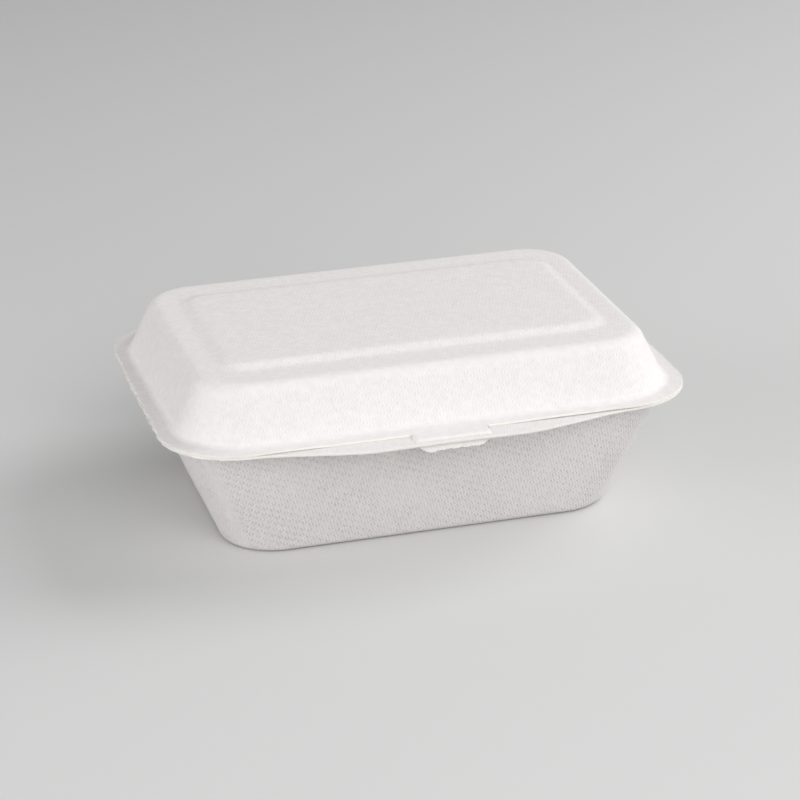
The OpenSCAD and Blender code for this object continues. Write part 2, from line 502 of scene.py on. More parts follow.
    reach_parts = add_node(tree, "ShaderNodeSeparateXYZ", {0: read["reach"]})
    lengths = add_node(
        tree,
        "ShaderNodeCombineXYZ",
        {"X": reach_parts.outputs["X"], "Y": reach_parts.outputs["Y"], "Z": read["rounding"]},
    )
    along = add_node(tree, "ShaderNodeVectorMath", {0: read["lay"], 1: lengths}, operation="DOT_PRODUCT")
    upright = add_node(tree, "ShaderNodeCombineXYZ", {"X": along.outputs["Value"], "Y": read["run"]})
    chart = add_node(
        tree,
        "ShaderNodeMix",
        {0: read["flat"], MIX_A_VECTOR: upright, MIX_B_VECTOR: placed},
        data_type="VECTOR",
    )
    charted = add_node(
        tree,
        "GeometryNodeStoreNamedAttribute",
        {"Geometry": shell, "Name": "UVMap", "Value": chart.outputs[MIX_OUT_VECTOR]},
        data_type="FLOAT2",
        domain="CORNER",
    )
    kept = add_node(tree, "ShaderNodeMath", {0: read["flat"], 1: read["seam"]}, operation="MAXIMUM")
    pressed = add_node(tree, "ShaderNodeMath", {0: kept, 1: read["imprint"]}, operation="MULTIPLY")
    marked = add_node(
        tree,
        "GeometryNodeStoreNamedAttribute",
        {"Geometry": charted, "Name": "imprint", "Value": pressed},
        data_type="FLOAT",
        domain="POINT",
    )
    closed = add_node(tree, "GeometryNodeMergeByDistance", {"Geometry": marked, "Distance": SHELL_WELD})
    finish_tree(tree, closed, given.outputs["Material"])
    return tree


def fibre_tree() -> bpy.types.NodeTree:
    """Tree that scatters loose fibres over the die-cut edges of a shell.

    Returns:
        The tree.
    """
    tree, given = new_tree(
        "edge fibres",
        {
            "Fibres per square metre": ("NodeSocketFloat", 3.0e6),
            "Fibre length": ("NodeSocketFloat", 0.5 * MM),
            "Fibre radius": ("NodeSocketFloat", 0.05 * MM),
            "Tip share": ("NodeSocketFloat", 0.35),
            "Shortest share": ("NodeSocketFloat", 0.35),
            "Seed": ("NodeSocketInt", 3),
            "Material": ("NodeSocketMaterial", None),
        },
    )
    cut = add_node(tree, "GeometryNodeInputNamedAttribute", {"Name": "cut"}, data_type="FLOAT")
    on_edge = add_node(tree, "ShaderNodeMapRange", {"Value": cut, "From Min": FIBRES_FROM, "From Max": 1.0})
    density = add_node(
        tree,
        "ShaderNodeMath",
        {0: on_edge, 1: given.outputs["Fibres per square metre"]},
        operation="MULTIPLY",
    )
    roots = add_node(
        tree,
        "GeometryNodeDistributePointsOnFaces",
        {"Mesh": given.outputs["Geometry"], "Density": density, "Seed": given.outputs["Seed"]},
        distribute_method="RANDOM",
    )
    tip = add_node(
        tree,
        "ShaderNodeMath",
        {0: given.outputs["Fibre radius"], 1: given.outputs["Tip share"]},
        operation="MULTIPLY",
    )
    hair = add_node(
        tree,
        "GeometryNodeMeshCone",
        {
            "Vertices": 3,
            "Side Segments": 1,
            "Fill Segments": 1,
            "Radius Top": tip,
            "Radius Bottom": given.outputs["Fibre radius"],
            "Depth": given.outputs["Fibre length"],
        },
        fill_type="NGON",
    )
    least, most = (-FIBRE_LEAN, -FIBRE_LEAN, 0.0), (FIBRE_LEAN, FIBRE_LEAN, math.tau)
    lean = add_node(
        tree,
        "FunctionNodeRandomValue",
        {"Min": least, "Max": most, "Seed": given.outputs["Seed"]},
        data_type="FLOAT_VECTOR",
    )
    leaning = add_node(tree, "FunctionNodeEulerToRotation", {0: lean})
    turned = add_node(
        tree,
        "FunctionNodeRotateRotation",
        {"Rotation": roots.outputs["Rotation"], "Rotate By": leaning},
        rotation_space="LOCAL",
    )
    size = add_node(
        tree,
        "FunctionNodeRandomValue",
        {2: given.outputs["Shortest share"], 3: 1.0, "Seed": given.outputs["Seed"]},
        data_type="FLOAT",
    )
    scattered = add_node(
        tree,
        "GeometryNodeInstanceOnPoints",
        {
            "Points": roots.outputs["Points"],
            "Instance": hair.outputs["Mesh"],
            "Rotation": turned,
            "Scale": size.outputs[1],
        },
    )
    finish_tree(tree, scattered, given.outputs["Material"])
    return tree


def fold_tree() -> bpy.types.NodeTree:
    """Tree that sweeps the folded strip's section along the hinge line, with slight creases.

    Returns:
        The tree.
    """
    tree, given = new_tree(
        "fold sweep",
        {
            "Path": ("NodeSocketObject", None),
            "Creasing": ("NodeSocketFloat", 0.06 * MM),
            "Crease length": ("NodeSocketFloat", 2.2 * MM),
            "Seed": ("NodeSocketFloat", 5.0),
            "Material": ("NodeSocketMaterial", None),
        },
    )
    line = add_node(tree, "GeometryNodeObjectInfo", {"Object": given.outputs["Path"]})
    path = add_node(tree, "GeometryNodeMeshToCurve", {"Mesh": line.outputs["Geometry"]})
    section = add_node(tree, "GeometryNodeMeshToCurve", {"Mesh": given.outputs["Geometry"]})
    swept = add_node(
        tree, "GeometryNodeCurveToMesh", {"Curve": path, "Profile Curve": section, "Fill Caps": True}
    )
    on_line = add_node(tree, "GeometryNodeInputNamedAttribute", {"Name": "along"}, data_type="FLOAT_VECTOR")
    across = add_node(tree, "GeometryNodeInputNamedAttribute", {"Name": "across"}, data_type="FLOAT_VECTOR")
    placed = add_node(tree, "ShaderNodeVectorMath", {0: on_line, 1: across}, operation="ADD")
    grain = add_node(tree, "ShaderNodeMath", {0: 1.0, 1: given.outputs["Crease length"]}, operation="DIVIDE")
    creases = add_node(
        tree,
        "ShaderNodeTexNoise",
        {"Vector": placed, "W": given.outputs["Seed"], "Scale": grain, "Detail": 2.0},
        noise_dimensions="4D",
    )
    depth = add_node(tree, "ShaderNodeMath", {0: creases, 1: given.outputs["Creasing"]}, operation="MULTIPLY")
    inwards = add_node(tree, "ShaderNodeVectorMath", {0: across}, operation="NORMALIZE")
    sunk = add_node(tree, "ShaderNodeVectorMath", {0: inwards, "Scale": depth}, operation="SCALE")
    final = add_node(tree, "ShaderNodeVectorMath", {0: placed, 1: sunk}, operation="SUBTRACT")
    strip = add_node(tree, "GeometryNodeSetPosition", {"Geometry": swept, "Position": final})
    charted = add_node(
        tree,
        "GeometryNodeStoreNamedAttribute",
        {"Geometry": strip, "Name": "UVMap", "Value": placed},
        data_type="FLOAT2",
        domain="CORNER",
    )
    closed = add_node(tree, "GeometryNodeMergeByDistance", {"Geometry": charted, "Distance": FOLD_WELD})
    finish_tree(tree, closed, given.outputs["Material"])
    return tree


@dataclass(frozen=True)
class PulpFinish:
    """Bagasse pulp, vacuum-formed on a wire screen and hot-pressed dry, as it leaves the mould."""

    name: str
    slot: str
    # Bleached cane fibre: a warm off-white that is never quite even
    fibre: str = "#F0ECEB"
    shade: str = "#EAE6E5"
    # Freshly die-cut edges show the raw inside of the sheet, which is creamier; the cream is partly a painted
    # glow that stands in for the warm light bouncing in the slit between the lid's edge and the tongue
    raw_edge: str = "#F0ECE7"
    roughness: float = 0.92
    specular: float = 0.18
    sheen: float = 0.12
    # The forming fabric's wires and the rows of its weave: their pitch, and how they lie on the chart
    wire_pitch_mm: float = 1.22
    wire_turn: float = 7.0
    row_pitch_mm: float = 2.65
    row_turn: float = 114.5
    screen_depth_mm: float = 0.14
    # Share of the colour taken off in the screen's hollows as painted shade, and half as much added on its
    # knuckles as painted light
    screen_tint: float = 0.085
    screen_drift_mm: float = 0.3
    drift_length_mm: float = 4.5
    # Size of the patches in which the imprint comes and goes, the noise it follows, and the least left
    patch_mm: float = 9.0
    patch_span: tuple[float, float] = (0.36, 0.62)
    patch_least: float = 0.6
    # Clumps of fibre that leave the pressed face slightly pebbled
    clump_mm: float = 2.4
    clump_depth_mm: float = 0.03
    mottle_span: tuple[float, float] = (0.35, 0.68)
    # Single fibres, drawn about twice as coarse as they are, so that they show
    fibre_mm: float = 0.55
    fibre_depth_mm: float = 0.014

    def waves(self, pitch_mm: float, turn: float) -> np.ndarray:
        """Turn of a wave's phase per metre along both axes of the chart, for its pitch and its lie."""
        lie = math.radians(turn)
        return math.tau / (pitch_mm * MM) * np.array([math.cos(lie), math.sin(lie)])

    def build(self) -> bpy.types.Material:
        """Builds the pulp as shader nodes on the piece's chart and its imprint and cut attributes.

        Returns:
            The material.
        """
        material = bpy.data.materials.new(self.name)
        tree = blank_tree(material)
        place = add_node(tree, "ShaderNodeTexCoord").outputs["Object"]
        chart = add_node(tree, "ShaderNodeUVMap", uv_map="UVMap")
        imprint = add_node(tree, "ShaderNodeAttribute", attribute_name="imprint").outputs["Fac"]
        cut = add_node(tree, "ShaderNodeAttribute", attribute_name="cut").outputs["Fac"]

        # The screen's wires are never quite straight: the chart drifts before the knuckles are drawn
        drift = add_node(
            tree,
            "ShaderNodeTexNoise",
            {"Vector": chart, "Scale": 1 / (self.drift_length_mm * MM), "Detail": 3.0},
        )
        off = add_node(
            tree, "ShaderNodeVectorMath", {0: drift.outputs["Color"], 1: NOISE_MIDDLE}, operation="SUBTRACT"
        )
        moved = add_node(
            tree,
            "ShaderNodeVectorMath",
            {0: off, 1: (self.screen_drift_mm * MM,) * 3, 2: chart},
            operation="MULTIPLY_ADD",
        )
        # The fabric shows as a few plane waves: its wires, its rows, and the twill lines where they cross
        wires = self.waves(self.wire_pitch_mm, self.wire_turn)
        rows = self.waves(self.row_pitch_mm, self.row_turn)
        knuckles: Feed | float = 0.0
        for to_wire, to_row, strength in FABRIC_WAVES:
            wave = (*(to_wire * wires + to_row * rows), 0.0)
            phase = add_node(tree, "ShaderNodeVectorMath", {0: moved, 1: wave}, operation="DOT_PRODUCT")
            swing = add_node(tree, "ShaderNodeMath", {0: phase.outputs["Value"]}, operation="COSINE")
            knuckles = add_node(
                tree, "ShaderNodeMath", {0: swing, 1: strength, 2: knuckles}, operation="MULTIPLY_ADD"
            )
        least, most = self.patch_span
        patches = add_node(
            tree,
            "ShaderNodeTexNoise",
            {"Vector": place, "Scale": 1 / (self.patch_mm * MM), "Detail": 3.0, "Roughness": 0.6},
        )
        shown = add_node(
            tree,
            "ShaderNodeMapRange",
            {"Value": patches, "From Min": least, "From Max": most, "To Min": self.patch_least},
        )
        strength = add_node(tree, "ShaderNodeMath", {0: shown, 1: imprint}, operation="MULTIPLY")
        screen = add_node(tree, "ShaderNodeMath", {0: knuckles, 1: strength}, operation="MULTIPLY")

        clumps = add_node(
            tree,
            "ShaderNodeTexNoise",
            {"Vector": place, "Scale": 1 / (self.clump_mm * MM), "Detail": 3.0, "Roughness": 0.55},
        )
        fibres = add_node(
            tree,
            "ShaderNodeTexNoise",
            {
                "Vector": place,
                "Scale": 1 / (self.fibre_mm * MM),
                "Detail": 2.0,
                "Roughness": 0.7,
                "Distortion": 1.4,
            },
        )
        relief = add_node(
            tree, "ShaderNodeMath", {0: screen, 1: self.screen_depth_mm * MM / 2}, operation="MULTIPLY"
        )
        pebbled = add_node(
            tree,
            "ShaderNodeMath",
            {0: clumps, 1: self.clump_depth_mm * MM, 2: relief},
            operation="MULTIPLY_ADD",
        )
        height = add_node(
            tree,
            "ShaderNodeMath",
            {0: fibres, 1: self.fibre_depth_mm * MM, 2: pebbled},
            operation="MULTIPLY_ADD",
        )
        bump = add_node(tree, "ShaderNodeBump", {"Height": height, "Strength": 1.0, "Distance": 1.0})

        # Mottle: thicker and thinner fibre, which is the pulp's own tone; then painted shade in the hollows
        # between the screen's knuckles, and the knuckles painted a little lighter
        mottle = add_node(
            tree,
            "ShaderNodeMapRange",
            {"Value": clumps, "From Min": self.mottle_span[0], "From Max": self.mottle_span[1]},
        )
        mottled = add_node(
            tree,
            "ShaderNodeMix",
            {0: mottle, MIX_A_COLOR: srgb(self.shade), MIX_B_COLOR: srgb(self.fibre)},
            data_type="RGBA",
        )
        painted_pit_shade = add_node(
            tree,
            "ShaderNodeMapRange",
            {
                "Value": screen,
                "From Min": -1.0,
                "From Max": 1.0,
                "To Min": 1 - self.screen_tint,
                "To Max": 1 + self.screen_tint / 2,
            },
        )
        pit_shaded = add_node(
            tree,
            "ShaderNodeVectorMath",
            {0: mottled.outputs[MIX_OUT_COLOR], "Scale": painted_pit_shade},
            operation="SCALE",
        )
        # Cut edges take the creamier raw-edge colour: partly the sheet's own inside, partly a painted glow for
        # the light bouncing in the slit
        edged = add_node(
            tree,
            "ShaderNodeMix",
            {0: cut, MIX_A_COLOR: pit_shaded, MIX_B_COLOR: srgb(self.raw_edge)},
            data_type="RGBA",
        )
        shader = add_node(
            tree,
            "ShaderNodeBsdfPrincipled",
            {
                "Base Color": edged.outputs[MIX_OUT_COLOR],
                "Roughness": self.roughness,
                "Specular IOR Level": self.specular,
                "Sheen Weight": self.sheen,
                "Normal": bump,
            },
        )
        add_node(tree, "ShaderNodeOutputMaterial", {"Surface": shader})
        return material


def seen_directly(tree: bpy.types.NodeTree) -> Feed:
    """Tells rays that show the backdrop, straight or in a gloss, from those that light the box.

    Args:
        tree: The shader tree.

    Returns:
        What gives 1 for a camera, glossy or transmission ray, and 0 for any other.
    """
    rays = add_node(tree, "ShaderNodeLightPath")
    shown = rays.outputs["Is Camera Ray"]
    for kind in ("Is Glossy Ray", "Is Transmission Ray"):
        shown = add_node(tree, "ShaderNodeMath", {0: shown, 1: rays.outputs[kind]}, operation="MAXIMUM")
    return shown


@dataclass(frozen=True)
class FloorFinish:
    """Matt painted board: an even, pale grey with no gloss."""

    colour: str = "#DADAD9"
    # What the board throws back at the box is that of a darker one, which keeps the tray from glowing
    colour_to_box: str = "#B6B6B5"
    roughness: float = 0.95
    specular: float = 0.1

    def build(self) -> bpy.types.Material:
        """Builds the board's paint.

        Returns:
            The material.
        """
        material = bpy.data.materials.new("floor_matt_paint")
        tree = blank_tree(material)
        shown = add_node(
            tree,
            "ShaderNodeMix",
            {0: seen_directly(tree), MIX_A_COLOR: srgb(self.colour_to_box), MIX_B_COLOR: srgb(self.colour)},
            data_type="RGBA",
        )
        shader = add_node(
            tree,
            "ShaderNodeBsdfPrincipled",
            {
                "Base Color": shown.outputs[MIX_OUT_COLOR],
                "Roughness": self.roughness,
                "Specular IOR Level": self.specular,
            },
        )
        add_node(tree, "ShaderNodeOutputMaterial", {"Surface": shader})
        return material


@dataclass
class Wall:
    """Stations along one skin of a shell, from its cut edge to the middle of its floor or panel."""

    inset: np.ndarray
    height: np.ndarray
    outboard: np.ndarray
    flat: np.ndarray
    imprint: np.ndarray

    @classmethod
    def along(
        cls,
        path: Sequence[np.ndarray],
        radii: Sequence[float],
        lays: Sequence[Lay],
        spacing: Sequence[float],
        rim_shares: np.ndarray,
        arc_step: float,
    ) -> "Wall":
        """Lays stations along a path with rounded corners.

        Args:
            path: Corners of the skin's section as inset and height, from the rim's edge inwards.
            radii: Radius at each inner corner.
            lays: How the screen lay on each stretch.
            spacing: Distance between stations on each stretch; the first one's is not used.
            rim_shares: Where the stations of the rim's flat lie, from 1 at its edge to 0 at its crease.
            arc_step: Largest angle between two stations of a round corner, in radians.

        Returns:
            The stations.
        """
        rows: list[tuple[float, float, float, float, float]] = []
        imprints = [RIM_IMPRINT] + [1.0 if lay is Lay.UPRIGHT else LEVEL_IMPRINT for lay in lays[1:]]
        start = path[0]
        for i in range(1, len(path)):
            last = i == len(path) - 1
            if last:
                arc = [path[i]]
            else:
                ahead, out = unit(path[i] - path[i - 1]), unit(path[i + 1] - path[i])
                turn = math.acos(float(np.clip(ahead @ out, -1, 1)))
                steps = 2 * max(1, math.ceil(turn / arc_step / 2))
                arc = corner_arc(path[i - 1], path[i], path[i + 1], radii[i - 1], steps)
            stretch = arc[0] - start
            if i == 1:
                shares = 1 - rim_shares
            else:
                count = max(1, math.ceil(float(np.linalg.norm(stretch)) / spacing[i - 1]))
                shares = np.linspace(0, 1, count + 1)
            lay = lays[i - 1].value
            for k, share in enumerate(shares[:-1] if not last else shares):
                if i > 1 and k == 0:
                    continue
                spot = start + share * stretch
                rows.append((spot[0], spot[1], 1 - share if i == 1 else 0.0, lay, imprints[i - 1]))
            if last:
                break
            for k, spot in enumerate(arc):
                half_way = 2 * k / (len(arc) - 1) - 1
                changes = lays[i - 1] is not lays[i]
                here = lays[i - 1].value if half_way <= 0 else lays[i].value
                shown = imprints[i - 1] if half_way <= 0 else imprints[i]
                rows.append((spot[0], spot[1], 0.0, here, shown * (abs(half_way) if changes else 1.0)))
            start = arc[-1]
        table = np.array(rows)
        return cls(table[:, 0], table[:, 1], table[:, 2], table[:, 3], table[:, 4])

    def run(self) -> np.ndarray:
        """Distance along the skin from its edge, at each station."""
        steps = np.hypot(np.diff(self.inset), np.diff(self.height))
        return np.concatenate([[0.0], np.cumsum(steps)])


@dataclass
class Rim:
    """The rim that the tray and the lid share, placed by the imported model."""

    half_width: float
    half_depth: float
    seat: float
    corner_r: float = 26.5 * MM
    flat: float = 5.8 * MM
    blend_r: float = 2.4 * MM
    stock: float = 0.8 * MM
    # How far the cut edges stay inside the CAD's, which leaves room for their wander and fibres
    trim: float = 0.12 * MM
    # Softening of the cut edges' corners
    nip: float = 0.1 * MM
    # The lid rests on the tray with this much air, so that the two faces do not share a plane
    air: float = 0.02 * MM

    @property
    def straight(self) -> float:
        """Half the straight length of the front and back edges."""
        return self.half_width - self.corner_r

    @classmethod
    def from_frame(cls) -> "Rim":
        """Reads the hinge line and the tray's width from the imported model."""
        hinge = frame["record"]["behaviour"]["joints"][0]["pos_m"]
        low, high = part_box(Body.TRAY.value)
        return cls(half_width=(high[0] - low[0]) / 2, half_depth=hinge[1], seat=hinge[2])


@dataclass
class LockTab:
    """The lid's tab: it goes out over the tongue, bends sharply down and stands through the slot."""

    # The real tab sits a little to the right of the middle
    middle: float = 1.4 * MM
    half_width: float = 13 * MM
    tip_half_width: float = 10.25 * MM
    tip_r: float = 2 * MM
    reach: float = 4.8 * MM
    bend_r: float = 0.4 * MM
    # Length that hangs below the bend
    shown_drop: float = 2.9 * MM
    play: float = 0.35 * MM
    end_play: float = 0.12 * MM
    slot_corner_r: float = 0.3 * MM
    # The sides are pressed thin on the tongue, and below it the tip springs out to the front
    side_press: float = 0.5 * MM
    side_band: float = 1.3 * MM
    curl: float = 1.3 * MM
    curl_from: float = 0.9 * MM
    # A torn tip that is longer than the shown drop goes on curling, up to this share of the curled length
    curl_to_share: float = 1.2
    # Distance between the columns that run down the tab's sides
    side_step: float = 0.02 * MM
    stock: float = 0.8 * MM
    # Below the bend the tab narrows, from a little above it and over this length
    taper_above: float = 0.4 * MM
    taper_over: float = 4.4 * MM
    # The torn tip's waves, each with its size and its turn per millimetre, and its longer left end
    torn_waves: tuple[tuple[float, float], ...] = ((0.09, 1.3), (0.08, 3.1), (0.06, 5.3))
    longer_left: float = 0.3
    longer_from: float = 4.0
    longer_over: float = 5.0

    @property
    def bend_start(self) -> float:
        """How far in front of the rim the bend begins."""
        return self.reach - self.stock / 2 - self.bend_r

    @property
    def bend_middle_r(self) -> float:
        """Radius of the bend at the middle of the sheet."""
        return self.bend_r + self.stock / 2

    @property
    def slot_reach(self) -> tuple[float, float]:
        """How far in front of the rim the slot's front and back edges lie."""
        return self.reach + self.stock / 2 + self.play, self.bend_start - self.play

    @property
    def length(self) -> float:
        """Length of the tab in front of the rim, laid out flat."""
        bent = self.bend_middle_r * math.pi / 2
        return self.bend_start + bent + self.stock / 2 - self.bend_r + self.shown_drop

    def rim_shares(self, foot: float) -> np.ndarray:
        """Stations across the rim's flat, from its edge at 1 to its crease at 0, close together at the bend.

        Args:
            foot: Width of the rim's flat.

        Returns:
            The shares, falling.
        """
        whole = foot + self.length
        begin = (foot + self.bend_start) / whole
        end = begin + self.bend_middle_r * math.pi / 2 / whole
        parts = [np.linspace(0, begin, 8), np.linspace(begin, end, 8)[1:], np.linspace(end, 1, 8)[1:]]
        return np.concatenate(parts)[::-1]

    def columns(self) -> tuple[np.ndarray, np.ndarray]:
        """Columns across the tab: its rough tip, its round corners and its two sides.

        Returns:
            Their x, and how far each is pulled out.
        """
        straight = np.linspace(0, self.half_width - self.tip_r, 26)
        corner = self.half_width - self.tip_r * (1 - np.sin(np.linspace(0, math.pi / 2, 7)[1:]))
        side_pull = self.length - self.tip_r
        bend_end = self.bend_start + self.bend_middle_r * math.pi / 2
        falling = np.concatenate(
            [
                np.linspace(side_pull, bend_end, 4)[1:],
                np.linspace(bend_end, self.bend_start, 7)[1:],
                np.linspace(self.bend_start, 0, 5)[1:],
            ]
        )
        side = self.half_width + self.side_step * np.arange(1, len(falling) + 1)
        half = np.concatenate([straight, corner, side])
        into_corner = np.clip((half - (self.half_width - self.tip_r)) / self.tip_r, 0, 1)
        full = self.length - self.tip_r * (1 - np.sqrt(1 - into_corner**2))
        full[-len(falling) :] = falling
        across = np.concatenate([-half[:0:-1], half])
        pulls = np.concatenate([full[:0:-1], full])
        on_tip = smooth((self.half_width - np.abs(across)) / (1 * MM))
        torn = sum(size * np.sin(across / MM * turn + turn) for size, turn in self.torn_waves)
        longer = self.longer_left * smooth((-across / MM - self.longer_from) / self.longer_over)
        return across + self.middle, pulls + MM * on_tip * (torn + longer)

    def bend(self, points: np.ndarray, rim: Rim) -> np.ndarray:
        """Bends the flat tab down and narrows it towards its tip.

        Args:
            points: The lid's points, with the tab lying out flat.
            rim: The rim.

        Returns:
            The moved points.
        """
        moved = points.copy()
        past = -points[:, 1] - rim.half_depth - self.bend_start
        on_tab = past > 0
        middle_z = rim.seat + self.stock / 2
        rise = points[:, 2] - middle_z
        angle = np.clip(past / self.bend_middle_r, 0, math.pi / 2)
        down = np.maximum(past - self.bend_middle_r * math.pi / 2, 0)
        radius = self.bend_middle_r + rise
        bent_y = -rim.half_depth - self.bend_start - radius * np.sin(angle)
        bent_z = middle_z - self.bend_middle_r + radius * np.cos(angle) - down
        hanging = np.clip((down - self.curl_from) / (self.shown_drop - self.curl_from), 0, self.curl_to_share)
        moved[on_tab, 1] = (bent_y - self.curl * hanging**2)[on_tab]
        moved[on_tab, 2] = bent_z[on_tab]
        taper = smooth((down + self.taper_above) / self.taper_over)
        narrow = 1 - (1 - self.tip_half_width / self.half_width) * taper
        from_middle = points[:, 0] - self.middle
        moved[on_tab, 0] = (self.middle + from_middle * narrow)[on_tab]
        on_tongue = smooth((-points[:, 1] - rim.half_depth) / MM) * (down <= 0)
        at_side = smooth((np.abs(from_middle) - self.half_width + self.side_band) / self.side_band)
        moved[:, 2] -= self.side_press * on_tongue * at_side * (rise > 0) * np.cos(angle)
        return moved

    def slot_cutter(self, rim: Rim) -> bpy.types.Mesh:
        """Prism that cuts the slot, which ends close beside the tab, with rounded corners.

        Args:
            rim: The rim.

        Returns:
            The closed prism.
        """
        front, back = self.slot_reach
        half_long = self.half_width + self.end_play
        half_wide = (front - back) / 2
        middle_y = -rim.half_depth - (front + back) / 2
        arc = self.slot_corner_r * (1 - np.sin(np.linspace(0, math.pi / 2, 5)))
        upper = [(half_long - a, half_wide - b) for a, b in zip(arc[::-1], arc)]
        right = [(x, -y) for x, y in upper[::-1]] + upper
        outline = right + [(-x, -y) for x, y in right]
        low, high = rim.seat - 3 * rim.stock, rim.seat + 2 * rim.stock
        count = len(outline)
        points = [(self.middle + x, middle_y + y, z) for z in (low, high) for x, y in outline]
        sides = [(k, (k + 1) % count, count + (k + 1) % count, count + k) for k in range(count)]
        caps = [tuple(range(count - 1, -1, -1)), tuple(range(count, 2 * count))]
        return new_mesh("slot_cutter", np.array(points), faces=sides + caps)

    def cut_slot(self, tray: bpy.types.Object, rim: Rim) -> None:
        """Cuts the slot through the tray's tongue and marks its sides as cut edges.

        Args:
            tray: The tray's shell.
            rim: The rim.
        """
        cutter = add_object("slot_cutter", self.slot_cutter(rim))
        modifier = tray.modifiers.new("slot", "BOOLEAN")
        modifier.operation = "DIFFERENCE"
        modifier.solver = "EXACT"
        modifier.object = cutter
        graph = bpy.context.evaluated_depsgraph_get()
        made = bpy.data.meshes.new_from_object(tray.evaluated_get(graph), depsgraph=graph)
        tray.modifiers.remove(modifier)
        bpy.data.objects.remove(cutter)
        tray.data = made
        points = points_of(made)
        front, back = self.slot_reach
        near = 0.01 * MM
        out = -points[:, 1] - rim.half_depth
        beside_tab = np.abs(points[:, 0] - self.middle) - self.half_width - self.end_play
        on_slot = (out < front + near) & (out > back - near) & (beside_tab < near)
        cut = np.where(on_slot, 1.0, take(made, "cut"))
        made.attributes["cut"].data.foreach_set("value", cut.astype(np.float32))


